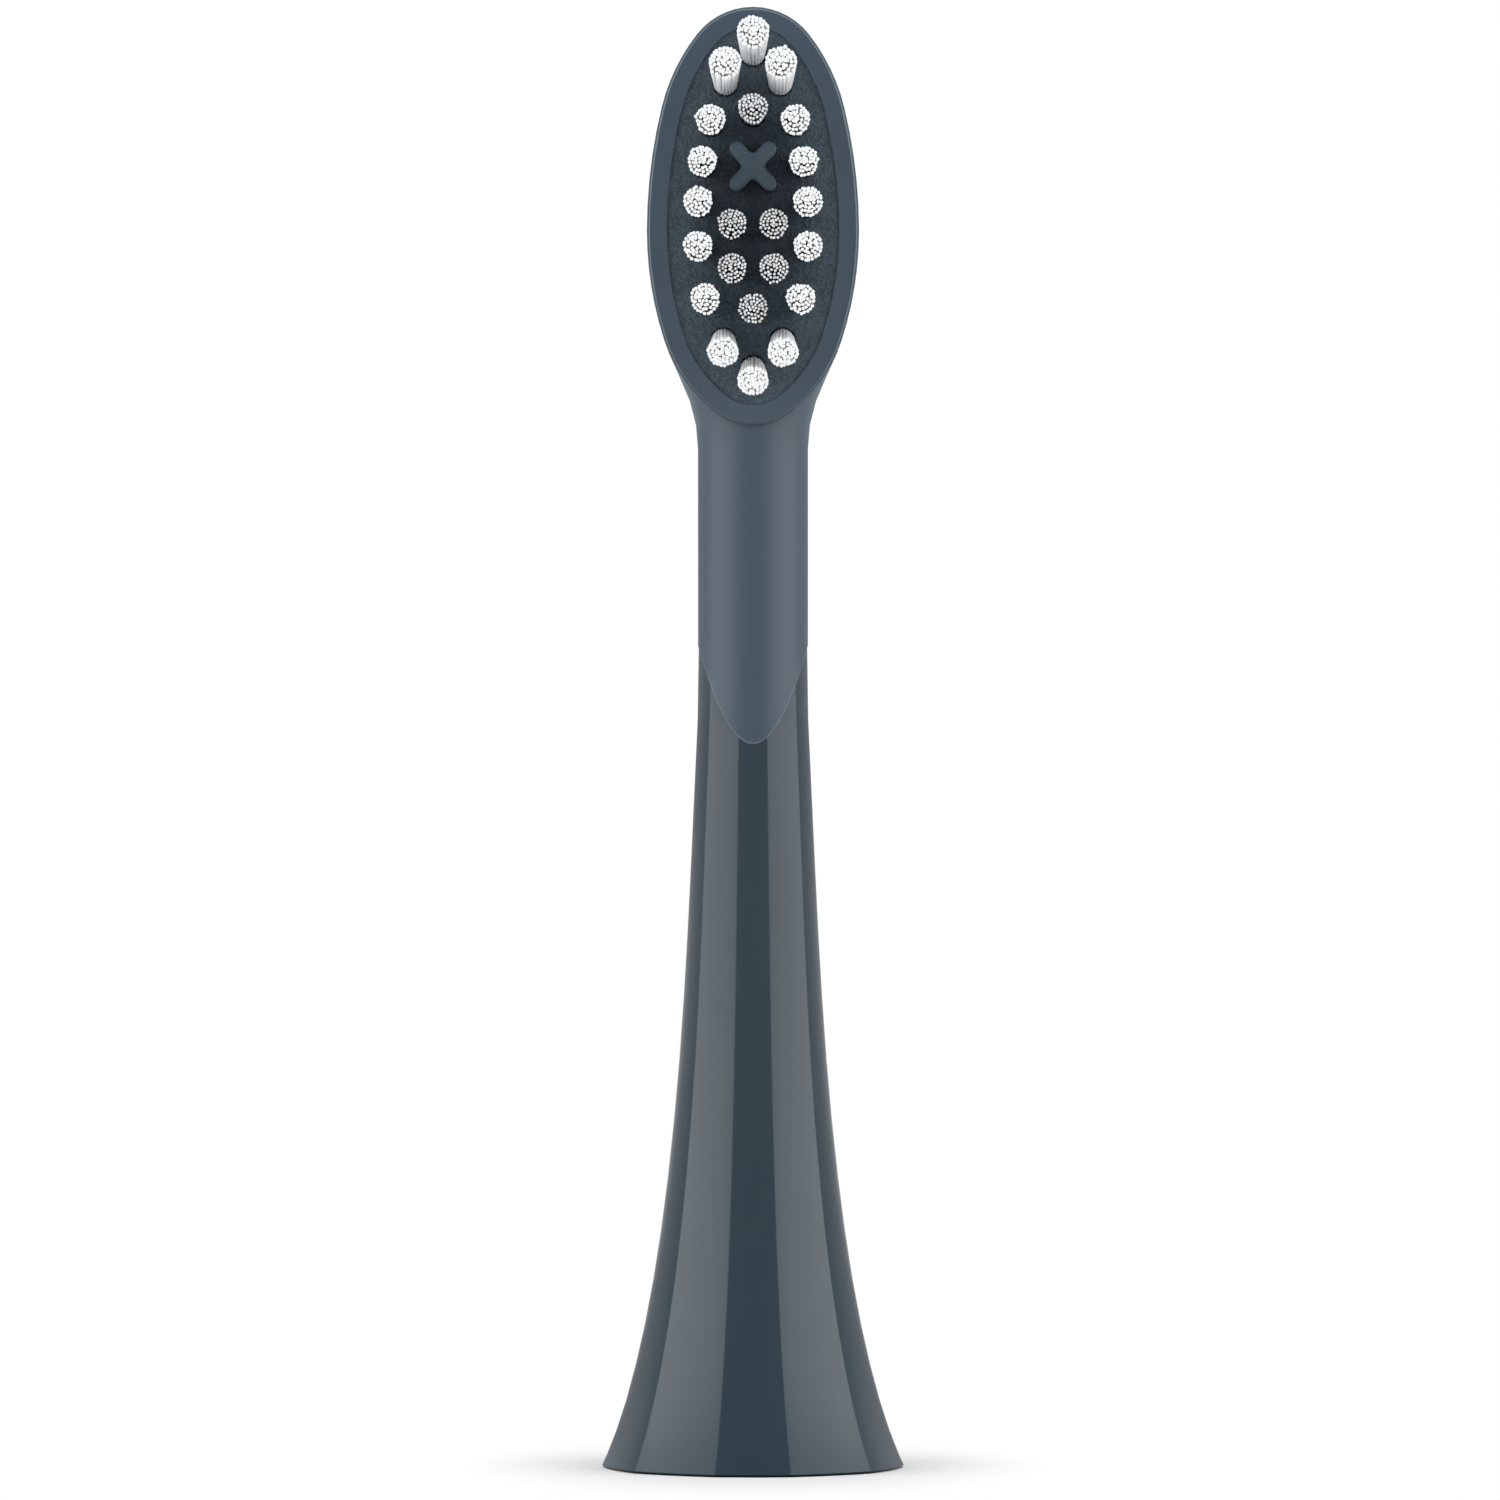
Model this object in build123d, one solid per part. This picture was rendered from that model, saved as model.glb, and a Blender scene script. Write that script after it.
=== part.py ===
"""Replaceable brush head for an electric toothbrush, standing on the rim of its flared skirt.

The origin is the centre of the base rim, Z runs up the neck and the bristles point to -Y.
"""
import os
from math import acos, atan, atan2, cos, degrees, hypot, pi, radians, sin, sqrt

from build123d import *

# Skirt and neck
base_radius = 8.83
neck_radius = 3.2
base_flare_slope = 0.473
base_edge_chamfer = 0.12
skirt_wall = 1.2

# Inner points of the flare line: share of the flare's height, share of its depth beyond the neck
flare_form = [(0.13, 0.635), (0.35, 0.3185), (0.6, 0.1376), (0.86, 0.0287)]

# Facets of the skirt, as the angles of their corners from the front
front_corner_angle = 14.5
side_corner_angle = 51.5
facet_crown = 0.65
facet_corner_radius = 0.4

# Arched line where the round neck runs out over the facets, low in front and behind and high at the sides
seam_front_height = 42.15
seam_side_height = 47.85
seam_step = 0.04
seam_overlap = 0.15

# Oval head
head_center_height = 71.86
head_half_width = 6.145
head_reach_up = 12.95
head_reach_down = 11.27
head_top_radius = 4.11
head_bottom_radius = 3.67
head_side_fullness = 1.24
plate_front = 3.6
plate_back = 1.4
plate_front_chamfer = 0.18
plate_back_edge_radius = 2.2
shoulder_start_drop = 12.63
shoulder_end_drop = 6.81
shoulder_radius = 8.5
shoulder_slope = 0.45
shoulder_inset = 0.15
spine_start_drop = 10.8
spine_sink = 0.1
rim_width = 1.16
face_recess = 0.12

# Bristle tufts: half distance between a pair (0 in the middle), rise over the widest line, lean up in degrees
outer_tuft_rows = [
    (0.0, 10.23, 5.8),
    (1.594, 8.525, 5.6),
    (2.43, 6.2, 0.0),
    (2.9, 3.82, 0.0),
    (3.145, 1.5, 0.0),
    (3.145, -1.04, 0.0),
    (2.745, -4.05, 0.0),
    (1.715, -6.375, -5.0),
    (0.0, -7.98, -5.2),
]
inner_tuft_rows = [
    (0.0, 6.76, 1.0),
    (1.19, 0.27, 0.0),
    (1.2, -2.27, 0.0),
    (0.0, -4.44, -1.0),
]
outer_tuft_height = 9.8
inner_tuft_height = 8.3
tuft_radius = 0.785
tuft_tip_radius = 0.9
tuft_crown = 0.15
tuft_sides = 10
tuft_hole_depth = 3.0
tuft_clearance = 0.02

# Metal anchors that staple the folded tufts
anchor_thickness = 0.3
anchor_height = 1.2
anchor_clearance = 0.01
tuft_fold = 0.35

# Soft polishing cross
cross_rise = 3.61
cross_reach_x = 0.92
cross_reach_z = 0.98
cross_arm_width = 0.85
cross_inner_radius = 0.3
cross_top_chamfer = 0.12
cross_height = 4.5
cross_pocket_depth = 1.8
cross_clearance = 0.02

# Drive core inside the skirt
cavity_height = 14.0
core_bottom_height = 6.0
core_top_height = 31.0
core_radius = 2.7
core_clearance = 0.03
core_end_wall = 1.8
flange_thickness = 1.5
flange_clearance = 0.1
gusset_count = 4
gusset_thickness = 1.0
gusset_reach = 0.9
gusset_start = 1.0
gusset_root = 0.3
pilot_radius = 2.15
pilot_length = 8.0
pilot_lead_in = 0.25
socket_radius = 1.95
socket_flat = 1.3

# Spring leaf in the core
leaf_width = 2.2
leaf_thickness = 0.25
leaf_bottom_height = 16.2
leaf_length = 10.6
leaf_bow = 0.4
leaf_clearance = 0.1

# Where the smooth surfaces take their sections, and how far a cut starts above the face it cuts
skirt_count = 16
skirt_bunching = 1.5
cavity_steps = (0, 0.35, 1)
shoulder_count = 9
halving_count = 40
cut_overshoot = 0.3

os.makedirs("parts", exist_ok=True)

# Flare line of the skirt's corners, as radius and height, which ends just inside the neck above the seam
flare_height = seam_side_height + seam_overlap
flare_top_radius = neck_radius - seam_step
flare_depth = base_radius - flare_top_radius
flare_line = Spline(
    (base_radius, 0),
    *[(flare_top_radius + depth * flare_depth, height * flare_height) for height, depth in flare_form],
    (flare_top_radius, flare_height),
    tangents=[(-base_flare_slope, 1), (0, 1)],
)


def across_at(line, height):
    """Distance from the axis at a height on a rising line, found by halving steps along it."""
    low, high = 0.0, 1.0
    for _ in range(halving_count):
        middle = (low + high) / 2
        if (line @ middle).Y < height:
            low = middle
        else:
            high = middle
    return (line @ low).X


def skirt_radius(height):
    """Radius of the skirt's corners at a height."""
    return across_at(flare_line, height)


def polar(radius, angle):
    """A point at an angle from the front, turning towards +X."""
    return (radius * sin(radians(angle)), -radius * cos(radians(angle)))


corner_angles = [front_corner_angle, side_corner_angle, 90, 180 - side_corner_angle, 180 - front_corner_angle]
corner_angles += [360 - angle for angle in reversed(corner_angles)]
widest_facet = max(b - a for a, b in zip(corner_angles, corner_angles[1:]))
facet_inset = cos(radians(widest_facet / 2))


def facet_section(height):
    """Ten-sided outline of the skirt at a height, with crowned sides and softened corners."""
    radius = skirt_radius(height)
    outline = Curve()
    for start, end in zip(corner_angles, corner_angles[1:] + [corner_angles[0] + 360]):
        half = radians((end - start) / 2)
        crown = radius * (cos(half) + facet_crown * (1 - cos(half)))
        outline += ThreePointArc(polar(radius, start), polar(crown, (start + end) / 2), polar(radius, end))
    section = make_face(outline)
    section = fillet(section.vertices(), facet_corner_radius)
    return Pos(0, 0, height) * section


# Skirt: a loft of faceted sections, closest together at the foot where the flare bends most
skirt_heights = [flare_height * (step / skirt_count) ** skirt_bunching for step in range(skirt_count + 1)]
skirt = loft([facet_section(height) for height in skirt_heights], ruled=True)
skirt = chamfer(skirt.edges().group_by(Axis.Z)[0], base_edge_chamfer)

# Head plate: an egg-shaped oval with a rounded back, a small front edge and a face sunk inside its rim
face_plane = Plane(origin=(0, 0, head_center_height), x_dir=(1, 0, 0), z_dir=(0, -1, 0))


def oval_side(way, reach, end_radius, inset):
    """A quarter of the head's outline, moved in by the inset: a round end, a cheek and a flatter side.

    The side is fuller than the one arc that meets the end, and the cheek's radius lies between the two.
    """
    side_radius = (head_half_width**2 + reach**2) / 2 - reach * end_radius
    side_radius *= head_side_fullness / (head_half_width - end_radius)
    cheek_radius = sqrt(side_radius * end_radius)
    side_center = Vector(head_half_width - side_radius, 0)
    end_center = Vector(0, way * (reach - end_radius))
    apart = end_center - side_center
    to_cheek = side_radius - cheek_radius
    along = (to_cheek**2 - (cheek_radius - end_radius) ** 2 + apart.length**2) / (2 * apart.length)
    turn = way * degrees(acos(along / to_cheek))
    cheek_center = side_center + apart.normalized().rotate(Axis.Z, -turn) * to_cheek
    end_meeting = cheek_center + (end_center - cheek_center).normalized() * (cheek_radius - inset)
    side_meeting = side_center + (cheek_center - side_center).normalized() * (side_radius - inset)
    side = RadiusArc((0, way * (reach - inset)), end_meeting, way * (end_radius - inset))
    side += RadiusArc(end_meeting, side_meeting, way * (cheek_radius - inset))
    return side + RadiusArc(side_meeting, (head_half_width - inset, 0), way * (side_radius - inset))


def oval(inset):
    """Outline of the head round its widest line, moved in by the inset."""
    side = oval_side(1, head_reach_up, head_top_radius, inset)
    side += oval_side(-1, head_reach_down, head_bottom_radius, inset)
    return make_face(side + mirror(side, about=Plane.YZ))


plate = extrude(face_plane.offset(-plate_back) * oval(0), plate_front + plate_back)
plate = chamfer(plate.edges().group_by(Axis.Y)[0], plate_front_chamfer)
plate = fillet(plate.edges().group_by(Axis.Y)[-1], plate_back_edge_radius)
face_depth = plate_front - face_recess
recess = extrude(face_plane.offset(face_depth) * oval(rim_width), face_recess + cut_overshoot)

# Neck: round up to the shoulders, which spread into the oval while the back flattens into the plate
lower_oval_side = oval_side(-1, head_reach_down, head_bottom_radius, 0)
shoulder_bend_height = shoulder_radius * sin(atan(shoulder_slope))


def shoulder_half_width(height):
    """Half width of the shoulders: an arc off the neck, a slanted flank, then just inside the oval."""
    drop = head_center_height - height
    if drop < shoulder_end_drop:
        return across_at(lower_oval_side, -drop) - shoulder_inset
    rise = max(0, shoulder_start_drop - drop)
    bend = min(rise, shoulder_bend_height)
    return neck_radius + shoulder_radius - sqrt(shoulder_radius**2 - bend**2) + shoulder_slope * (rise - bend)


def spine_depth(height):
    """Depth of the back at a height, easing from the round neck to just under the plate's back."""
    share = 1 - (head_center_height - height) / spine_start_drop
    ease = (1 - cos(pi * min(1, max(0, share)))) / 2
    return neck_radius + ease * (plate_back - spine_sink - neck_radius)


def shoulder_section(height):
    """Section of the shoulders: the neck's own depth in front, the spine's behind."""
    half_width = shoulder_half_width(height)
    front = EllipticalCenterArc((0, 0), half_width, neck_radius, 180, arc_size=180)
    back = EllipticalCenterArc((0, 0), half_width, spine_depth(height), 0, arc_size=180)
    return Pos(0, 0, height) * make_face(front + back)


shoulder_pitch = shoulder_start_drop / shoulder_count
shoulder_heights = [head_center_height - step * shoulder_pitch for step in range(shoulder_count + 1, -1, -1)]
neck_bottom_height = seam_front_height - seam_overlap
neck = Pos(0, 0, neck_bottom_height) * Cone(
    skirt_radius(neck_bottom_height) + seam_step,
    neck_radius,
    flare_height - neck_bottom_height,
    align=(Align.CENTER, Align.CENTER, Align.MIN),
)
neck += extrude(Pos(0, 0, flare_height) * Circle(neck_radius), shoulder_heights[0] - flare_height)
neck += loft([shoulder_section(height) for height in shoulder_heights], ruled=True)

# Seam: an arch cut straight through the neck's foot from side to side
tongue_radius = skirt_radius(seam_front_height) + seam_step
seam_reach = tongue_radius + cut_overshoot
seam_drop = seam_side_height - seam_front_height
seam_foot_height = seam_side_height - seam_drop * (seam_reach / tongue_radius) ** 2
seam_arch = Bezier(
    (-seam_reach, seam_foot_height),
    (0, 2 * seam_side_height - seam_foot_height),
    (seam_reach, seam_foot_height),
)
under_arch = make_face(seam_arch + Line(seam_arch @ 1, seam_arch @ 0))
neck -= extrude(Plane.YZ * under_arch, seam_reach, both=True)

# Cross element: two rounded arms, standing in a pocket of the same outline
cross_length = 2 * hypot(cross_reach_x, cross_reach_z) + cross_arm_width
cross_angle = Vector(cross_reach_x, cross_reach_z).get_angle(Vector(1, 0))
cross_center = (0, -face_depth, head_center_height + cross_rise)
cross_plane = Plane(origin=cross_center, x_dir=(1, 0, 0), z_dir=(0, -1, 0))


def cross_outline(gap):
    """An X of two round-ended arms, grown by a gap all round."""
    arms = Sketch()
    for turn in (cross_angle, -cross_angle):
        arms += Rot(0, 0, turn) * SlotOverall(cross_length + 2 * gap, cross_arm_width + 2 * gap)
    inner_corners = arms.vertices().sort_by_distance((0, 0))[:4]
    return fillet(inner_corners, cross_inner_radius)


cross_foot = cross_plane.offset(-cross_pocket_depth)
polishing_cross = extrude(cross_foot * cross_outline(0), cross_pocket_depth + cross_height)
polishing_cross = chamfer(polishing_cross.edges().group_by(Axis.Y)[0], cross_top_chamfer)
cross_pocket = extrude(cross_foot * cross_outline(cross_clearance), cross_pocket_depth + face_recess)


# Tufts, their holes and their anchors, all built on the axis of one hole
def tuft_plane(across, rise, lean):
    """Plane at the mouth of a tuft hole, facing along the tuft."""
    return Plane(
        origin=(across, -face_depth, head_center_height + rise),
        x_dir=(1, 0, 0),
        z_dir=(0, -cos(radians(lean)), sin(radians(lean))),
    )


anchor_half_width = sqrt((tuft_radius * cos(pi / tuft_sides)) ** 2 - (anchor_thickness / 2) ** 2)
anchor_width = 2 * (anchor_half_width - anchor_clearance)
anchor_foot = -tuft_hole_depth + tuft_fold


def anchor_block(gap):
    """The flat metal anchor across the foot of a hole, grown by a gap all round."""
    block = Box(anchor_width + 2 * gap, anchor_thickness + 2 * gap, anchor_height + 2 * gap)
    return Pos(0, 0, anchor_foot + anchor_height / 2) * block


def tuft_outline(gap):
    """Many-sided section of a bundle of bristles, grown by a gap all round."""
    return RegularPolygon(tuft_radius + gap, tuft_sides)


def tuft_solid(height):
    """Bundle of bristles: straight in its hole, slightly spread above it, crowned at the cut end."""
    spread = degrees(atan2(tuft_tip_radius - tuft_radius, height))
    tuft = extrude(tuft_outline(0), height, taper=-spread)
    tuft = chamfer(tuft.edges().group_by(Axis.Z)[-1], tuft_crown)
    tuft += extrude(tuft_outline(0), tuft_clearance - tuft_hole_depth)
    return tuft - anchor_block(anchor_clearance)


hole_floor = Pos(0, 0, -tuft_hole_depth) * tuft_outline(tuft_clearance)
hole_solid = extrude(hole_floor, tuft_hole_depth + cut_overshoot)


def tuft_planes(rows):
    """The hole planes of a set of rows, a pair at a time from the top of the head down."""
    planes = []
    for across, rise, lean in rows:
        sides = (-1, 1) if across else (0,)
        planes += [tuft_plane(side * across, rise, lean) for side in sides]
    return planes


outer_planes = tuft_planes(outer_tuft_rows)
inner_planes = tuft_planes(inner_tuft_rows)
tuft_holes = [plane * hole_solid for plane in outer_planes + inner_planes]
anchors = [plane * anchor_block(0) for plane in outer_planes + inner_planes]


# Hollow of the skirt: a round flare of two cones inside the facets, then the bore for the core
def cavity_radius(height):
    """Radius of the hollow at a height: a wall's thickness inside the flattest part of the facets."""
    return facet_inset * skirt_radius(height) - skirt_wall


cavity_heights = [step * cavity_height for step in cavity_steps]
cavity_line = Polyline(*[(cavity_radius(height), height) for height in cavity_heights])
cavity_outline = cavity_line + Polyline(cavity_line @ 1, (0, cavity_height), (0, 0), cavity_line @ 0)
cavity = revolve(Plane.XZ * make_face(cavity_outline), Axis.Z)
core_bore = Pos(0, 0, cavity_height) * Cylinder(
    core_radius + core_clearance,
    core_top_height - cavity_height + core_clearance,
    align=(Align.CENTER, Align.CENTER, Align.MIN),
)

brush_head_body = skirt + (neck + plate)
brush_head_body -= [recess, cross_pocket, cavity, core_bore] + tuft_holes

# Drive core: a tube with a flange, gussets, and a shaft socket that is round at its mouth and flattened above
core_profile = Polyline(
    (0, core_bottom_height),
    (core_radius, core_bottom_height),
    (core_radius, cavity_height - flange_thickness),
    (cavity_radius(cavity_height) - flange_clearance, cavity_height - flange_thickness),
    (cavity_radius(cavity_height) - flange_clearance, cavity_height),
    (core_radius, cavity_height),
    (core_radius, core_top_height),
    (0, core_top_height),
    close=True,
)
drive_core = revolve(Plane.XZ * make_face(core_profile), Axis.Z)
gusset_profile = make_face(
    Polyline(
        (core_radius - gusset_root, core_bottom_height + gusset_start),
        (core_radius, core_bottom_height + gusset_start),
        (core_radius + gusset_reach, cavity_height - flange_thickness),
        (core_radius - gusset_root, cavity_height - flange_thickness),
        close=True,
    )
)
gusset = extrude(Plane.XZ * gusset_profile, gusset_thickness / 2, both=True)
drive_core += [Rot(0, 0, step * 360 / gusset_count) * gusset for step in range(gusset_count)]

pilot = Pos(0, 0, core_bottom_height) * Cylinder(
    pilot_radius,
    pilot_length,
    align=(Align.CENTER, Align.CENTER, Align.MIN),
)
pilot_top_height = core_bottom_height + pilot_length
socket_length = core_top_height - core_end_wall - pilot_top_height
socket = Cylinder(socket_radius, socket_length, align=(Align.CENTER, Align.CENTER, Align.MIN))
socket -= Pos(0, socket_flat) * Box(
    2 * socket_radius,
    socket_radius,
    socket_length,
    align=(Align.CENTER, Align.MIN, Align.MIN),
)
socket = Pos(0, 0, pilot_top_height) * socket
leaf_window = Pos(0, 0, leaf_bottom_height - leaf_clearance) * Box(
    leaf_width + 2 * leaf_clearance,
    core_radius + core_clearance,
    leaf_length + 2 * leaf_clearance,
    align=(Align.CENTER, Align.MAX, Align.MIN),
)
drive_core -= [pilot, socket, leaf_window]
mouth_edge = drive_core.edges().filter_by(GeomType.CIRCLE).group_by(Axis.Z)[0].sort_by(SortBy.RADIUS)[0]
drive_core = chamfer(mouth_edge, pilot_lead_in)

# Spring leaf: a bowed strip in the core's window, its back against the wall of the bore
leaf_back = sqrt(core_radius**2 - (leaf_width / 2) ** 2)
leaf_middle = leaf_bottom_height + leaf_length / 2
leaf_top_height = leaf_bottom_height + leaf_length
leaf_outer = ThreePointArc(
    (-leaf_back, leaf_bottom_height),
    (-leaf_back + leaf_bow, leaf_middle),
    (-leaf_back, leaf_top_height),
)
leaf_inner = Pos(leaf_thickness, 0) * leaf_outer
leaf_ends = Line(leaf_outer @ 0, leaf_inner @ 0) + Line(leaf_outer @ 1, leaf_inner @ 1)
spring_clip = extrude(Plane.YZ * make_face(leaf_outer + leaf_inner + leaf_ends), leaf_width / 2, both=True)

# Nodes
export_step(brush_head_body, "parts/brush_head_body.step")
export_step(drive_core, "parts/drive_core.step")
export_step(spring_clip, "parts/spring_clip.step")
export_step(polishing_cross, "parts/polishing_cross.step")
export_step(Compound(children=anchors), "parts/tuft_anchors.step")
for number, plane in enumerate(outer_planes, 1):
    export_step(plane * tuft_solid(outer_tuft_height), f"parts/outer_tuft_{number:02d}.step")
for number, plane in enumerate(inner_planes, 1):
    export_step(plane * tuft_solid(inner_tuft_height), f"parts/inner_tuft_{number}.step")
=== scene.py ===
"""Studio picture of an electric toothbrush head, standing on its skirt with the bristles to the front."""
from math import cos, radians

import bpy
import numpy as np
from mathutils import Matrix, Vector


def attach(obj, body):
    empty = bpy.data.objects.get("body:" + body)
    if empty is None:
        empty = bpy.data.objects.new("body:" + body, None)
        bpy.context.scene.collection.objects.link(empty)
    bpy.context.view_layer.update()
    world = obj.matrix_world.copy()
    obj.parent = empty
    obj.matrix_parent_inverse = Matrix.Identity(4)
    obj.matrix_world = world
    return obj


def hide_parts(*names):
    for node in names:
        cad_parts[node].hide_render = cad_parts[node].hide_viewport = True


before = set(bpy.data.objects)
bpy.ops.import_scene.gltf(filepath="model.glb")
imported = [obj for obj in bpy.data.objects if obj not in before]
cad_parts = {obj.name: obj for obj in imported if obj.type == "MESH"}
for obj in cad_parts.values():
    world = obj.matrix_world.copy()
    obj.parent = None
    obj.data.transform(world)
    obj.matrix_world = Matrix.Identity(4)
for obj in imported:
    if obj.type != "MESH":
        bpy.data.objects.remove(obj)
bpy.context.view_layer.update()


# Moulded body
# One shot of dark slate plastic: the hollow skirt with its facets, the round neck and the oval head.
# The skirt is polished in the mould, the neck and the head's rim are satin, and the face is spark-eroded.
mm = 0.001
scene = bpy.context.scene
crease_angle = radians(22)
merge_distance = 0.0002 * mm
polished_dark = (0.017, 0.033, 0.046, 1)
polished_light = (0.022, 0.040, 0.054, 1)
satin_dark = (0.031, 0.056, 0.082, 1)
satin_light = (0.037, 0.062, 0.089, 1)
speckle_dark = (0.011, 0.027, 0.040, 1)
speckle_light = (0.033, 0.058, 0.080, 1)
# Painted shadow: the near-black tone laid on the chamfer at the foot.
painted_shadow_tone = (0.006, 0.010, 0.013, 1)
# Painted highlight: the lighter tone laid along the rim's chamfer and the seam's lip.
painted_highlight_tone = (0.13, 0.16, 0.18, 1)
skirt_roughness = 0.25
satin_roughness = 0.44
eroded_roughness = 0.1
skirt_specular = 0.5
satin_specular = 0.65
shadow_specular_share = 0.2
seam_side_height = 47.85 * mm
seam_front_height = 42.15 * mm
seam_blend = 0.04 * mm
tongue_radius = 3.32 * mm
lip_width = 0.12 * mm
lip_core = 0.4 * lip_width
foot_chamfer = 0.12 * mm
foot_core = 0.9 * foot_chamfer
foot_end = 1.2 * foot_chamfer
rim_front = -3.6 * mm
rim_edge_start = 0.01 * mm
rim_edge_full = 0.03 * mm
rim_edge_depth = 0.18 * mm
rim_edge_end = 1.5 * rim_edge_depth
highlight_strength = 0.6
face_depth = -3.48 * mm
face_margin = 0.05 * mm
face_core = 0.4 * face_margin
head_foot = 60 * mm
head_blend = 1 * mm
edge_fade_start = 2 * mm
edge_fade_full = 5 * mm
body_cloud_scale = 160.0
body_grain_scale = 14000.0
blotch_scale = 1300.0
pit_scale = 6500.0
blotch_share = 0.35
speckle_start = 0.5
speckle_full = 0.85
speckle_relief = 0.03 * mm
skin_relief = 0.002 * mm
grain_details = {"Cloud": 2.0, "Grain": 3.0}


def merged_mesh(node, name):
    """A CAD node's triangles with the points that coincide made one.

    Each corner's normal becomes the mean, weighted by corner angle, of the normals at its point that lie
    within the crease angle of it: narrow bands run together into one smooth surface, and real edges stay
    crisp.
    """
    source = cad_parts[node].data
    points = np.empty(len(source.vertices) * 3, np.float32)
    source.vertices.foreach_get("co", points)
    vertex = np.empty(len(source.loops), np.int32)
    source.loops.foreach_get("vertex_index", vertex)
    normal = np.empty(len(source.loops) * 3, np.float32)
    source.corner_normals.foreach_get("vector", normal)
    corner = points.reshape(-1, 3)[vertex].astype(float)
    steps = (corner / merge_distance).round().astype(np.int64)
    places, point = np.unique(steps, axis=0, return_inverse=True)
    point = point.reshape(-1)
    triangles = point.reshape(-1, 3)
    first, second, third = triangles.T
    whole = (first != second) & (second != third) & (third != first)
    point = triangles[whole].reshape(-1)
    normal = normal.reshape(-1, 3, 3)[whole].reshape(-1, 3).astype(float)
    corner = corner.reshape(-1, 3, 3)[whole]
    ahead = np.roll(corner, -1, axis=1) - corner
    back = np.roll(corner, 1, axis=1) - corner
    ahead /= np.linalg.norm(ahead, axis=2, keepdims=True)
    back /= np.linalg.norm(back, axis=2, keepdims=True)
    angle = np.arccos(np.clip((ahead * back).sum(axis=2), -1, 1)).reshape(-1)
    order = np.argsort(point, kind="stable")
    counts = np.bincount(point, minlength=len(places))
    seat = np.empty(len(point), int)
    seat[order] = np.arange(len(point)) - (np.cumsum(counts) - counts)[point[order]]
    normals_at = np.zeros((len(places), counts.max(), 3))
    weight_at = np.zeros((len(places), counts.max()))
    normals_at[point, seat] = normal
    weight_at[point, seat] = angle
    near = np.einsum("pki,pli->pkl", normals_at, normals_at) > cos(crease_angle)
    mean = np.einsum("pkl,pl,pli->pki", near, weight_at, normals_at)[point, seat]
    mean /= np.linalg.norm(mean, axis=1, keepdims=True)
    mesh = bpy.data.meshes.new(name)
    mesh.from_pydata(places * merge_distance, [], point.reshape(-1, 3))
    mesh.normals_split_custom_set(mean)
    return mesh


def new_material(name, color, roughness):
    """A Principled material with its colour and roughness set; returns it with its shader."""
    material = bpy.data.materials.new(name)
    material.use_nodes = True
    bsdf = material.node_tree.nodes["Principled BSDF"]
    bsdf.inputs["Base Color"].default_value = color
    bsdf.inputs["Roughness"].default_value = roughness
    return material, bsdf


def join(owner, output, socket):
    """Links an output to an input of the same material or world."""
    owner.node_tree.links.new(output, socket)


def result_of(owner, operation, first, second):
    """A Math node on two inputs, each a socket or a number; returns its output."""
    node = owner.node_tree.nodes.new("ShaderNodeMath")
    node.operation = operation
    for socket, value in zip(node.inputs, (first, second)):
        if isinstance(value, (int, float)):
            socket.default_value = value
        else:
            join(owner, value, socket)
    return node.outputs[0]


def step_between(owner, value, low, high, at_low=0.0, at_high=1.0):
    """A Map Range node that goes smoothly from one result at low to another at high; returns its output."""
    node = owner.node_tree.nodes.new("ShaderNodeMapRange")
    node.interpolation_type = "SMOOTHSTEP"
    join(owner, value, node.inputs["Value"])
    node.inputs["From Min"].default_value = low
    node.inputs["From Max"].default_value = high
    node.inputs["To Min"].default_value = at_low
    node.inputs["To Max"].default_value = at_high
    return node.outputs["Result"]


def tone_between(owner, share, first, second):
    """Mixes two tones, each a socket or a colour, by a share of the second; returns the colour."""
    node = owner.node_tree.nodes.new("ShaderNodeMixRGB")
    join(owner, share, node.inputs["Fac"])
    for socket, tone in zip((node.inputs["Color1"], node.inputs["Color2"]), (first, second)):
        if isinstance(tone, tuple):
            socket.default_value = tone
        else:
            join(owner, tone, socket)
    return node.outputs["Color"]


def object_place(owner):
    """The point of the surface on Object coordinates."""
    return owner.node_tree.nodes.new("ShaderNodeTexCoord").outputs["Object"]


grain_effect = bpy.data.node_groups.new("moulded_grain", "ShaderNodeTree")
grain_effect.interface.new_socket("Place", in_out="INPUT", socket_type="NodeSocketVector")
grain_effect.interface.new_socket("Cloud Scale", in_out="INPUT", socket_type="NodeSocketFloat")
grain_effect.interface.new_socket("Grain Scale", in_out="INPUT", socket_type="NodeSocketFloat")
grain_effect.interface.new_socket("Cloud", in_out="OUTPUT", socket_type="NodeSocketFloat")
grain_effect.interface.new_socket("Grain", in_out="OUTPUT", socket_type="NodeSocketFloat")
grain_in = grain_effect.nodes.new("NodeGroupInput")
grain_out = grain_effect.nodes.new("NodeGroupOutput")
for layer, detail in grain_details.items():
    layer_noise = grain_effect.nodes.new("ShaderNodeTexNoise")
    layer_noise.inputs["Detail"].default_value = detail
    grain_effect.links.new(grain_in.outputs["Place"], layer_noise.inputs["Vector"])
    grain_effect.links.new(grain_in.outputs[layer + " Scale"], layer_noise.inputs["Scale"])
    grain_effect.links.new(layer_noise.outputs["Fac"], grain_out.inputs[layer])


def grain_at(owner, place, cloud_scale, grain_scale):
    """Places the grain effect with its two scales; returns broad clouding and fine grain, about 0.5 each."""
    node = owner.node_tree.nodes.new("ShaderNodeGroup")
    node.node_tree = grain_effect
    join(owner, place, node.inputs["Place"])
    node.inputs["Cloud Scale"].default_value = cloud_scale
    node.inputs["Grain Scale"].default_value = grain_scale
    return node.outputs["Cloud"], node.outputs["Grain"]


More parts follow.
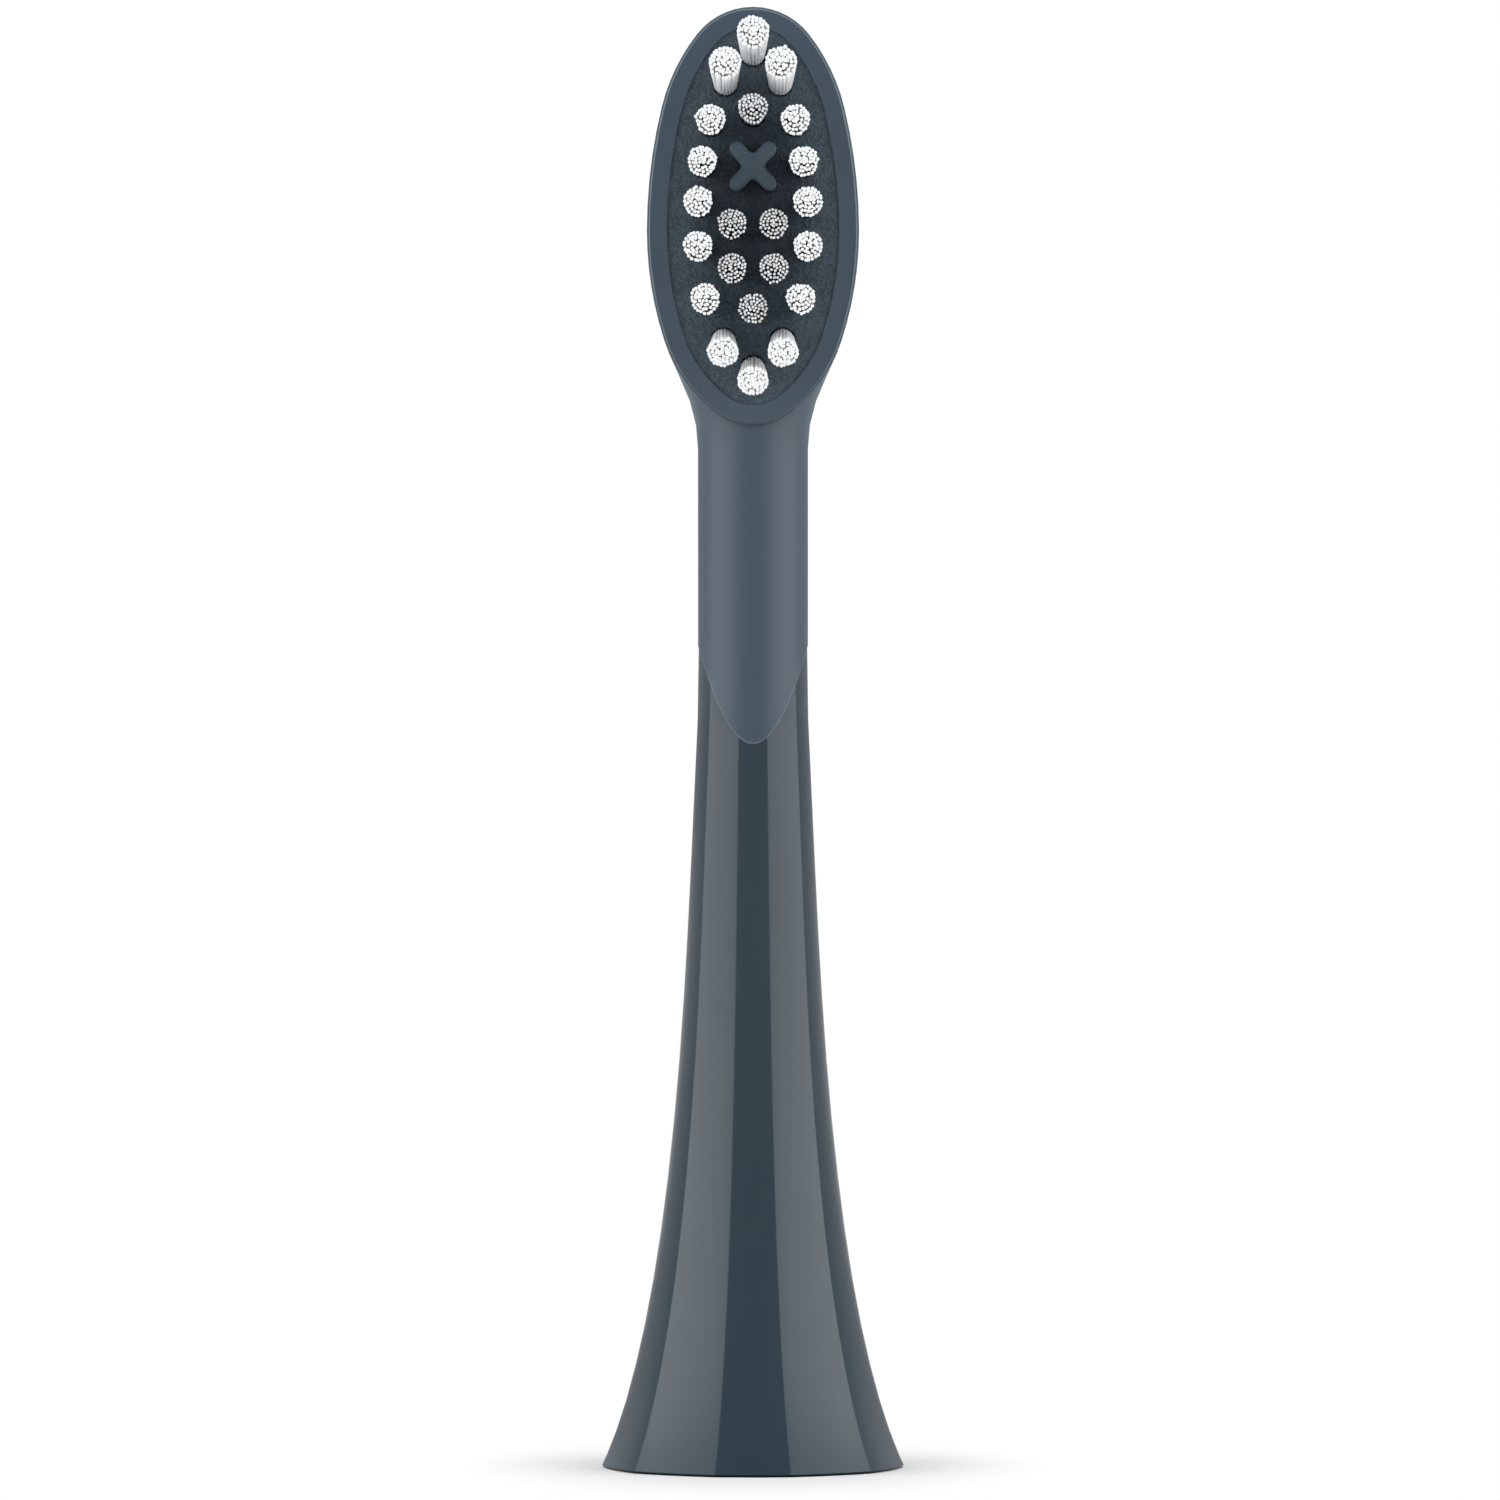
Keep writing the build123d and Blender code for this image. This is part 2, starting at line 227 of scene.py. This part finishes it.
def raise_by(owner, bsdf, height):
    """Feeds a height in metres to the shader's normal."""
    bump = owner.node_tree.nodes.new("ShaderNodeBump")
    bump.inputs["Distance"].default_value = 1.0
    join(owner, height, bump.inputs["Height"])
    join(owner, bump.outputs["Normal"], bsdf.inputs["Normal"])


body = bpy.data.objects.new("moulded_body", merged_mesh("brush_head_body", "moulded_body"))
scene.collection.objects.link(body)
slate, slate_bsdf = new_material("slate_plastic", satin_dark, satin_roughness)
place = object_place(slate)
axes = slate.node_tree.nodes.new("ShaderNodeSeparateXYZ")
join(slate, place, axes.inputs[0])
depth_at, height_at = axes.outputs["Y"], axes.outputs["Z"]

# The satin part begins above an arched seam, whose height falls with the square of the depth.
arch_fall = (seam_side_height - seam_front_height) / tongue_radius**2
arch_drop = result_of(slate, "MULTIPLY", result_of(slate, "POWER", depth_at, 2.0), arch_fall)
over_seam = result_of(slate, "SUBTRACT", result_of(slate, "ADD", height_at, arch_drop), seam_side_height)
satin = step_between(slate, over_seam, -seam_blend, 0.0)
lip = result_of(slate, "MULTIPLY", satin, step_between(slate, over_seam, lip_core, lip_width, 1.0, 0.0))

# The eroded part is the face, told from the rim and the hole walls by its depth.
on_head = step_between(slate, height_at, head_foot, head_foot + head_blend)
at_face = step_between(slate, depth_at, face_depth - face_margin, face_depth - face_core)
past_face = step_between(slate, depth_at, face_depth + face_core, face_depth + face_margin)
eroded = result_of(slate, "MULTIPLY", result_of(slate, "SUBTRACT", at_face, past_face), on_head)

# Painted highlight: light lines laid in the tone follow the chamfer round the upper head and the seam's lip;
# painted shadow darkens the chamfer at the foot.
rim_edge = step_between(slate, depth_at, rim_front + rim_edge_start, rim_front + rim_edge_full)
past_edge = step_between(slate, depth_at, rim_front + rim_edge_depth, rim_front + rim_edge_end)
edge = result_of(slate, "MULTIPLY", result_of(slate, "SUBTRACT", rim_edge, past_edge), on_head)
edge_fade = step_between(slate, height_at, head_foot + edge_fade_start, head_foot + edge_fade_full)
edge = result_of(slate, "MULTIPLY", result_of(slate, "SUBTRACT", edge, eroded), edge_fade)
painted_highlight = result_of(slate, "MULTIPLY", result_of(slate, "MAXIMUM", edge, lip), highlight_strength)
# Painted shadow: the chamfer at the foot is darkened in the tone.
painted_foot_shadow = step_between(slate, height_at, foot_core, foot_end, 1.0, 0.0)

cloud, grain = grain_at(slate, place, body_cloud_scale, body_grain_scale)
blotch, pits = grain_at(slate, place, blotch_scale, pit_scale)
pitting = result_of(slate, "ADD", pits, result_of(slate, "MULTIPLY", blotch, blotch_share))
speckle = step_between(slate, pitting, speckle_start, speckle_full)
polished_tone = tone_between(slate, cloud, polished_dark, polished_light)
satin_tone = tone_between(slate, cloud, satin_dark, satin_light)
tone = tone_between(slate, satin, polished_tone, satin_tone)
tone = tone_between(slate, eroded, tone, tone_between(slate, speckle, speckle_dark, speckle_light))
# Painted highlight along the rim's chamfer and the lip, mixed into the tone.
tone = tone_between(slate, painted_highlight, tone, painted_highlight_tone)
join(slate, tone_between(slate, painted_foot_shadow, tone, painted_shadow_tone), slate_bsdf.inputs["Base Color"])
sheen = step_between(slate, satin, 0.0, 1.0, skirt_specular, satin_specular)
# The painted shadow at the foot also turns down its specular.
shadow_dulling = step_between(slate, painted_foot_shadow, 0.0, 1.0, 1.0, shadow_specular_share)
join(slate, result_of(slate, "MULTIPLY", sheen, shadow_dulling), slate_bsdf.inputs["Specular IOR Level"])
finish = step_between(slate, satin, 0.0, 1.0, skirt_roughness, satin_roughness)
dullness = result_of(slate, "MULTIPLY", eroded, eroded_roughness)
join(slate, result_of(slate, "ADD", finish, dullness), slate_bsdf.inputs["Roughness"])
relief = result_of(slate, "MULTIPLY", result_of(slate, "MULTIPLY", speckle, eroded), speckle_relief)
skin = result_of(slate, "MULTIPLY", result_of(slate, "MULTIPLY", grain, satin), skin_relief)
raise_by(slate, slate_bsdf, result_of(slate, "ADD", relief, skin))
body.data.materials.append(slate)
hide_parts("brush_head_body")
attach(body, "root")


# Polishing cross
# A soft rubber X moulded into a pocket of the face, shorter than the bristles round it.
# It is the body's colour with a dull skin.
rubber_dark = (0.053, 0.085, 0.110, 1)
rubber_light = (0.063, 0.097, 0.124, 1)
rubber_roughness = 0.6
rubber_cloud_scale = 1500.0
rubber_grain_scale = 9000.0
rubber_relief = 0.004 * mm


def dress(node, material):
    """Gives a CAD node that is carried over its one material."""
    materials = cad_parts[node].data.materials
    materials.clear()
    materials.append(material)


rubber, rubber_bsdf = new_material("soft_slate_rubber", rubber_dark, rubber_roughness)
rubber_cloud, rubber_grain = grain_at(rubber, object_place(rubber), rubber_cloud_scale, rubber_grain_scale)
join(rubber, tone_between(rubber, rubber_cloud, rubber_dark, rubber_light), rubber_bsdf.inputs["Base Color"])
raise_by(rubber, rubber_bsdf, result_of(rubber, "MULTIPLY", rubber_grain, rubber_relief))
dress("polishing_cross", rubber)


# Bristle tufts
# Bundles of drawn nylon filaments, folded double round a metal anchor in each hole and cut to length.
# They touch in the hole, spread above the face, and their ends are ground round and not quite level.
filament_radius = 0.077 * mm
filament_pitch = 0.156 * mm
filament_rings = 4
bundle_radius = filament_rings * filament_pitch
hole_depth = 2.98 * mm
anchor_half = 0.17 * mm
fold_squeeze = 0.6
hole_twist = radians(24)
side_fan = 0.21
upper_fan = 0.11
lower_fan = 0.41
upward_fan = 1.0
downward_fan = 0.6
droop_limit = 3.6
outer_swell = 0.38
inner_swell = 0.12
lean_swell = 1.5
end_scatter = 0.09 * mm
edge_fall = 0.15 * mm
wander = 0.15 * filament_pitch
stray_share = 0.03
stray_reach = 0.06 * mm
ring_sides = 6
tip_drops = np.array([0.040, 0.018, 0.006, 0.0]) * mm
tip_radii = np.array([1.0, 0.96, 0.86, 0.62])
end_slack = 0.45 * mm
nylon_roughness = 0.36
nylon_scatter = 0.2
nylon_scatter_depth = 0.06 * mm
tone_share = 0.35
shade_share = 0.65
# The darker ends hold both each filament's own tone and painted shade towards the foot.
pale_shade_and_tone = (0.92, 0.925, 0.93, 1)
pale_light = (0.985, 0.99, 0.99, 1)
grey_shade_and_tone = (0.30, 0.31, 0.32, 1)
grey_light = (0.95, 0.955, 0.96, 1)


def ring_packing(rng):
    """Centres of filaments packed in rings round a middle one.

    Ring k holds 6k filaments, evenly spaced at k pitches from the middle, and starts at an angle of its own.
    """
    ring_numbers = np.arange(1, filament_rings + 1)
    ring = np.repeat(ring_numbers, 6 * ring_numbers)
    place = np.arange(len(ring)) - 3 * ring * (ring - 1)
    angle = 2 * np.pi * place / (6 * ring) + rng.uniform(0, 2 * np.pi, filament_rings)[ring - 1]
    around = np.stack([np.cos(angle), np.sin(angle)], axis=1) * (ring * filament_pitch)[:, None]
    return np.concatenate([np.zeros((1, 2)), around])


def bristle_mesh(name, foot, tip, swell, seed):
    """A tuft's filaments as one mesh, from the foot of the hole to the cut end.

    Each centre line is a place of the ring packing carried along the tuft's axis. At the foot it is turned by
    the twist and pushed clear of the anchor, and at the hole's mouth it is on its own place. Above, it moves
    out by a share of its distance from the middle, which differs sideways, upwards and downwards and with the
    tuft's lean; each line also wanders, and a few strays move out further. The skin is a ring of points round
    that line at each distance from the foot. It swells towards the end, more than a real filament would, so
    that the tuft looks full, and is drawn in to a rounded tip.
    """
    rng = np.random.default_rng(seed)
    centers = ring_packing(rng)
    count = len(centers)
    axis = tip - foot
    length = np.linalg.norm(axis)
    axis /= length
    side = np.array([1.0, 0.0, 0.0])
    rise = np.cross(axis, side)
    edge = np.linalg.norm(centers, axis=1) / bundle_radius
    lengths = length + rng.uniform(-end_scatter, 0.0, count) - edge_fall * edge**4
    levels = np.array([0.0, 0.5 * hole_depth, hole_depth, 0.5 * (hole_depth + length)])
    reach = np.concatenate([np.tile(levels, (count, 1)), lengths[:, None] - tip_drops], axis=1)
    above = np.clip((reach - hole_depth) / (lengths - hole_depth)[:, None], 0, 1)[:, :, None]
    below = np.clip(1 - reach / hole_depth, 0, 1)
    fan = np.full((count, 2), side_fan)
    up, down = max(axis[2], 0), max(-axis[2], 0)
    fan[:, 1] = np.where(centers[:, 1] > 0, upper_fan, lower_fan - droop_limit * down)
    fan += upward_fan * up + downward_fan * down
    stray = rng.normal(0, wander, (count, 2))
    stray += (rng.uniform(0, 1, count) < stray_share)[:, None] * centers / bundle_radius * stray_reach
    lines = centers[:, None, :] * (1 + fan[:, None, :] * above) + stray[:, None, :] * above
    turned = hole_twist * below
    x, y = lines[:, :, 0], lines[:, :, 1]
    cosine, sine = np.cos(turned), np.sin(turned)
    lines = np.stack([x * cosine - y * sine, x * sine + y * cosine], axis=2)
    parting = np.clip(2 * below - 1, 0, 1)
    half = np.where(lines[:, :, 1] < 0, -1, 1)
    parted = half * (anchor_half + filament_radius + fold_squeeze * np.abs(lines[:, :, 1]))
    lines[:, :, 1] += (parted - lines[:, :, 1]) * parting
    inside = np.minimum(1, bundle_radius / np.maximum(np.linalg.norm(lines, axis=2), filament_radius))
    lines *= np.where(below > 0, inside, 1)[:, :, None]
    turn = np.arange(ring_sides) * 2 * np.pi / ring_sides
    ring = np.stack([np.cos(turn), np.sin(turn)], axis=1) * filament_radius
    ring_radii = np.concatenate([np.ones(len(levels)), tip_radii])
    thickness = ring_radii * (1 + (swell + lean_swell * abs(axis[2])) * above[:, :, 0])
    flat = lines[:, :, None, :] + ring[None, None, :, :] * thickness[:, :, None, None]
    points = foot + flat[..., :1] * side + flat[..., 1:] * rise + reach[:, :, None, None] * axis
    rings = len(ring_radii)
    index = np.arange(count * rings * ring_sides).reshape(count, rings, ring_sides)
    after = np.roll(index, -1, axis=2)
    walls = np.stack([index[:, :-1], after[:, :-1], after[:, 1:], index[:, 1:]], axis=-1).reshape(-1)
    ends = np.concatenate([index[:, 0, ::-1], index[:, -1]]).reshape(-1)
    mesh = bpy.data.meshes.new(name)
    mesh.vertices.add(index.size)
    mesh.vertices.foreach_set("co", points.astype(np.float32).reshape(-1))
    mesh.loops.add(len(walls) + len(ends))
    mesh.loops.foreach_set("vertex_index", np.concatenate([walls, ends]))
    end_starts = len(walls) + np.arange(0, len(ends), ring_sides)
    starts = np.concatenate([np.arange(0, len(walls), 4), end_starts])
    mesh.polygons.add(len(starts))
    mesh.polygons.foreach_set("loop_start", starts)
    mesh.update(calc_edges=True)
    mesh.shade_smooth()
    tone = mesh.attributes.new("filament_tone", "FLOAT", "POINT")
    tones = np.repeat(rng.uniform(0, 1, count), rings * ring_sides)
    tone.data.foreach_set("value", tones.astype(np.float32))
    height = mesh.attributes.new("filament_height", "FLOAT", "POINT")
    height.data.foreach_set("value", np.repeat(above.reshape(-1), ring_sides).astype(np.float32))
    mesh.validate()
    return mesh


def nylon_material(name, dark, light):
    """Drawn nylon: a tone for each filament, and painted shade that greys it towards the foot."""
    material, bsdf = new_material(name, light, nylon_roughness)
    bsdf.inputs["Subsurface Weight"].default_value = nylon_scatter
    bsdf.inputs["Subsurface Radius"].default_value = (1.0, 1.0, 1.0)
    bsdf.inputs["Subsurface Scale"].default_value = nylon_scatter_depth
    filament = material.node_tree.nodes.new("ShaderNodeAttribute")
    filament.attribute_name = "filament_tone"
    height = material.node_tree.nodes.new("ShaderNodeAttribute")
    height.attribute_name = "filament_height"
    # Painted shade: the tone greys towards the foot by the share of the height.
    shade_by_height = result_of(material, "MULTIPLY", height.outputs["Fac"], shade_share)
    by_filament = result_of(material, "MULTIPLY", filament.outputs["Fac"], tone_share)
    share = result_of(material, "ADD", by_filament, shade_by_height)
    join(material, tone_between(material, share, dark, light), bsdf.inputs["Base Color"])
    return material


def tuft_ends(node):
    """Middles of a bundle's foot and of its cut end: the means of its rearmost and of its foremost points."""
    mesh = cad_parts[node].data
    points = np.empty(len(mesh.vertices) * 3)
    mesh.vertices.foreach_get("co", points)
    points = np.unique(points.reshape(-1, 3).round(7), axis=0)
    depth = points[:, 1]
    foot = points[depth > depth.max() - end_slack].mean(axis=0)
    tip = points[depth < depth.min() + end_slack].mean(axis=0)
    return foot, tip


# The pale outer tufts get a little painted shade towards the foot, the grey inner tufts much more.
pale_nylon = nylon_material("pale_nylon", pale_shade_and_tone, pale_light)
grey_shaded_nylon = nylon_material("grey_shaded_nylon", grey_shade_and_tone, grey_light)
tuft_nodes = sorted(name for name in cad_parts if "_tuft_" in name)
for seed, node in enumerate(tuft_nodes):
    foot, tip = tuft_ends(node)
    piece_name = node.replace("tuft", "bristles")
    outer = node.startswith("outer")
    swell = outer_swell if outer else inner_swell
    bristles = bpy.data.objects.new(piece_name, bristle_mesh(piece_name, foot, tip, swell, seed))
    scene.collection.objects.link(bristles)
    bristles.data.materials.append(pale_nylon if outer else grey_shaded_nylon)
    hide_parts(node)
    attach(bristles, "root")


# Tuft anchors
# Short pieces of flat brass wire, driven into the holes across the folded filaments.
# The wire is drawn and sheared to length, so its finish is uneven.
brass_dark = (0.40, 0.36, 0.29, 1)
brass_light = (0.52, 0.47, 0.38, 1)
brass_smooth = 0.22
brass_rough = 0.45
brass_cloud_scale = 700.0
brass_grain_scale = 6000.0
grain_low = 0.2
grain_high = 0.8
brass, brass_bsdf = new_material("anchor_brass", brass_dark, brass_smooth)
brass_bsdf.inputs["Metallic"].default_value = 1.0
brass_cloud, brass_grain = grain_at(brass, object_place(brass), brass_cloud_scale, brass_grain_scale)
join(brass, tone_between(brass, brass_cloud, brass_dark, brass_light), brass_bsdf.inputs["Base Color"])
brass_finish = step_between(brass, brass_grain, grain_low, grain_high, brass_smooth, brass_rough)
join(brass, brass_finish, brass_bsdf.inputs["Roughness"])
dress("tuft_anchors", brass)


# Drive core
# A tube of natural acetal pressed into the neck from below; the handle's shaft goes into it.
# Its flange seats under the skirt's shoulder, and four gussets stiffen its foot.
acetal_dark = (0.69, 0.70, 0.67, 1)
acetal_light = (0.78, 0.79, 0.77, 1)
acetal_roughness = 0.42
acetal_cloud_scale = 420.0
acetal_grain_scale = 11000.0
acetal_relief = 0.002 * mm
acetal, acetal_bsdf = new_material("natural_acetal", acetal_light, acetal_roughness)
acetal_cloud, acetal_grain = grain_at(acetal, object_place(acetal), acetal_cloud_scale, acetal_grain_scale)
join(acetal, tone_between(acetal, acetal_cloud, acetal_dark, acetal_light), acetal_bsdf.inputs["Base Color"])
raise_by(acetal, acetal_bsdf, result_of(acetal, "MULTIPLY", acetal_grain, acetal_relief))
dress("drive_core", acetal)


# Spring leaf
# A bowed strip of rolled spring steel in the core's window, which presses on the flat of the shaft.
# The rolling leaves fine lines along the strip.
steel_dark = (0.55, 0.56, 0.57, 1)
steel_light = (0.66, 0.67, 0.68, 1)
steel_smooth = 0.2
steel_rough = 0.42
steel_cloud_scale = 900.0
steel_line_scale = 9000.0
line_stretch = 0.03
steel, steel_bsdf = new_material("rolled_steel", steel_dark, steel_smooth)
steel_bsdf.inputs["Metallic"].default_value = 1.0
along_strip = steel.node_tree.nodes.new("ShaderNodeMapping")
along_strip.inputs["Scale"].default_value = (1.0, 1.0, line_stretch)
join(steel, object_place(steel), along_strip.inputs["Vector"])
strip_place = along_strip.outputs["Vector"]
steel_cloud, steel_lines = grain_at(steel, strip_place, steel_cloud_scale, steel_line_scale)
join(steel, tone_between(steel, steel_cloud, steel_dark, steel_light), steel_bsdf.inputs["Base Color"])
steel_finish = step_between(steel, steel_lines, grain_low, grain_high, steel_smooth, steel_rough)
join(steel, steel_finish, steel_bsdf.inputs["Roughness"])
dress("spring_clip", steel)


# Floor and background
# A plain pale sheet under the head, which takes its shadow and runs out to white all round it.
# From below the sheet is clear, so that the head shows from there too.
floor_half = 2.0
floor_drop = 0.02 * mm
near_edge = 12 * mm
far_edge = 27 * mm
side_narrowing = 1.5
paper_tone = (0.87, 0.84, 0.82, 1)
paper_roughness = 0.8
floor_mesh = bpy.data.meshes.new("floor")
unit_square = np.array([(-1, -1, 0), (1, -1, 0), (1, 1, 0), (-1, 1, 0)])
floor_corners = unit_square * floor_half - (0, 0, floor_drop)
floor_mesh.from_pydata(floor_corners, [], [(0, 1, 2, 3)])
floor = bpy.data.objects.new("floor", floor_mesh)
scene.collection.objects.link(floor)
paper, paper_bsdf = new_material("pale_paper", paper_tone, paper_roughness)
distance = paper.node_tree.nodes.new("ShaderNodeVectorMath")
distance.operation = "LENGTH"
sideways = paper.node_tree.nodes.new("ShaderNodeMapping")
sideways.inputs["Scale"].default_value = (side_narrowing, 1.0, 1.0)
join(paper, object_place(paper), sideways.inputs["Vector"])
join(paper, sideways.outputs["Vector"], distance.inputs[0])
far = step_between(paper, distance.outputs["Value"], near_edge, far_edge)
paper_rays = paper.node_tree.nodes.new("ShaderNodeLightPath")
glossy, refracted = paper_rays.outputs["Is Glossy Ray"], paper_rays.outputs["Is Transmission Ray"]
mirrored = result_of(paper, "ADD", glossy, refracted)
seen = result_of(paper, "MAXIMUM", paper_rays.outputs["Is Camera Ray"], mirrored)
white = paper.node_tree.nodes.new("ShaderNodeEmission")
run_out = paper.node_tree.nodes.new("ShaderNodeMixShader")
join(paper, result_of(paper, "MULTIPLY", far, seen), run_out.inputs["Fac"])
join(paper, paper_bsdf.outputs["BSDF"], run_out.inputs[1])
join(paper, white.outputs["Emission"], run_out.inputs[2])
under_side = paper.node_tree.nodes.new("ShaderNodeNewGeometry")
clear = paper.node_tree.nodes.new("ShaderNodeBsdfTransparent")
open_below = paper.node_tree.nodes.new("ShaderNodeMixShader")
join(paper, under_side.outputs["Backfacing"], open_below.inputs["Fac"])
join(paper, run_out.outputs["Shader"], open_below.inputs[1])
join(paper, clear.outputs["BSDF"], open_below.inputs[2])
join(paper, open_below.outputs["Shader"], paper.node_tree.nodes["Material Output"].inputs["Surface"])
floor.data.materials.append(paper)


# Studio light
# Two tall softboxes, one on each side from well forward to just behind the head, and a smaller one overhead.
# The front and the back are dim. The camera sees white all round, reflections only in a patch behind.
side_stops = ((0.0, 0.09), (0.355, 0.09), (0.425, 0.9), (0.5, 1.0), (0.84, 0.90), (0.95, 0.14), (1.0, 0.12))
side_light = 2.9
top_light = 1.9
top_edge = (0.82, 0.94)
high_edge = (0.3, 0.65)
high_share = 0.52
back_glow = 0.4
glow_round = (0.15, 0.3)
glow_rise = (-0.02, 0.25)
backdrop_edge = radians(15)
backdrop_core = radians(8)
least_reach = 0.001
sky_tone = (1.0, 1.035, 1.06, 1)
world = bpy.data.worlds.new("studio")
scene.world = world
world.use_nodes = True
sky = world.node_tree.nodes["Background"]
toward = world.node_tree.nodes.new("ShaderNodeSeparateXYZ")
join(world, world.node_tree.nodes.new("ShaderNodeTexCoord").outputs["Generated"], toward.inputs[0])
x_squared = result_of(world, "POWER", toward.outputs["X"], 2.0)
y_squared = result_of(world, "POWER", toward.outputs["Y"], 2.0)
level_reach = result_of(world, "POWER", result_of(world, "ADD", x_squared, y_squared), 0.5)
level_reach = result_of(world, "MAXIMUM", level_reach, least_reach)
forward = result_of(world, "DIVIDE", toward.outputs["Y"], level_reach)
round_share = result_of(world, "SUBTRACT", 0.5, result_of(world, "MULTIPLY", forward, 0.5))
boxes = world.node_tree.nodes.new("ShaderNodeValToRGB")
join(world, round_share, boxes.inputs["Fac"])
stops = boxes.color_ramp.elements
while len(stops) < len(side_stops):
    stops.new(1.0)
for stop, (position, level) in zip(stops, side_stops):
    stop.position = position
    stop.color = (level, level, level, 1)
sides = result_of(world, "MULTIPLY", boxes.outputs["Color"], side_light)
overhead = step_between(world, toward.outputs["Z"], *top_edge)
behind = step_between(world, round_share, *glow_round, back_glow, 0.0)
glow = result_of(world, "MULTIPLY", behind, step_between(world, toward.outputs["Z"], *glow_rise))
high = step_between(world, toward.outputs["Z"], *high_edge, 1.0, high_share)
sides = result_of(world, "ADD", result_of(world, "MULTIPLY", sides, high), glow)
around = result_of(world, "MULTIPLY", sides, result_of(world, "SUBTRACT", 1.0, overhead))
studio = result_of(world, "ADD", around, result_of(world, "MULTIPLY", overhead, top_light))
backdrop = step_between(world, toward.outputs["Y"], cos(backdrop_edge), cos(backdrop_core))
rays = world.node_tree.nodes.new("ShaderNodeLightPath")
reflected = result_of(world, "ADD", rays.outputs["Is Glossy Ray"], rays.outputs["Is Transmission Ray"])
reflected_white = result_of(world, "MULTIPLY", reflected, backdrop)
shown = result_of(world, "MAXIMUM", rays.outputs["Is Camera Ray"], reflected_white)
unlit = result_of(world, "MULTIPLY", studio, result_of(world, "SUBTRACT", 1.0, shown))
join(world, result_of(world, "ADD", unlit, shown), sky.inputs["Strength"])
sky.inputs["Color"].default_value = sky_tone


# Camera
# Straight in front of the head and a little above its middle, tilted slightly down, with a long lens.
camera_distance = 750 * mm
camera_height = 53.2 * mm
camera_across = -0.172 * mm
aim_height = 41.74 * mm
frame_width = 87.27 * mm
sensor_width = 36
nearest_seen = 10 * mm
scene.view_settings.view_transform = "Standard"
camera_data = bpy.data.cameras.new("camera")
camera_data.sensor_width = sensor_width
camera_data.lens = sensor_width * camera_distance / frame_width
camera_data.clip_start = nearest_seen
camera = bpy.data.objects.new("camera", camera_data)
camera.location = (camera_across, -camera_distance, camera_height)
sight_line = Vector((0, camera_distance, aim_height - camera_height))
camera.rotation_euler = sight_line.to_track_quat("-Z", "Y").to_euler()
scene.collection.objects.link(camera)
scene.camera = camera
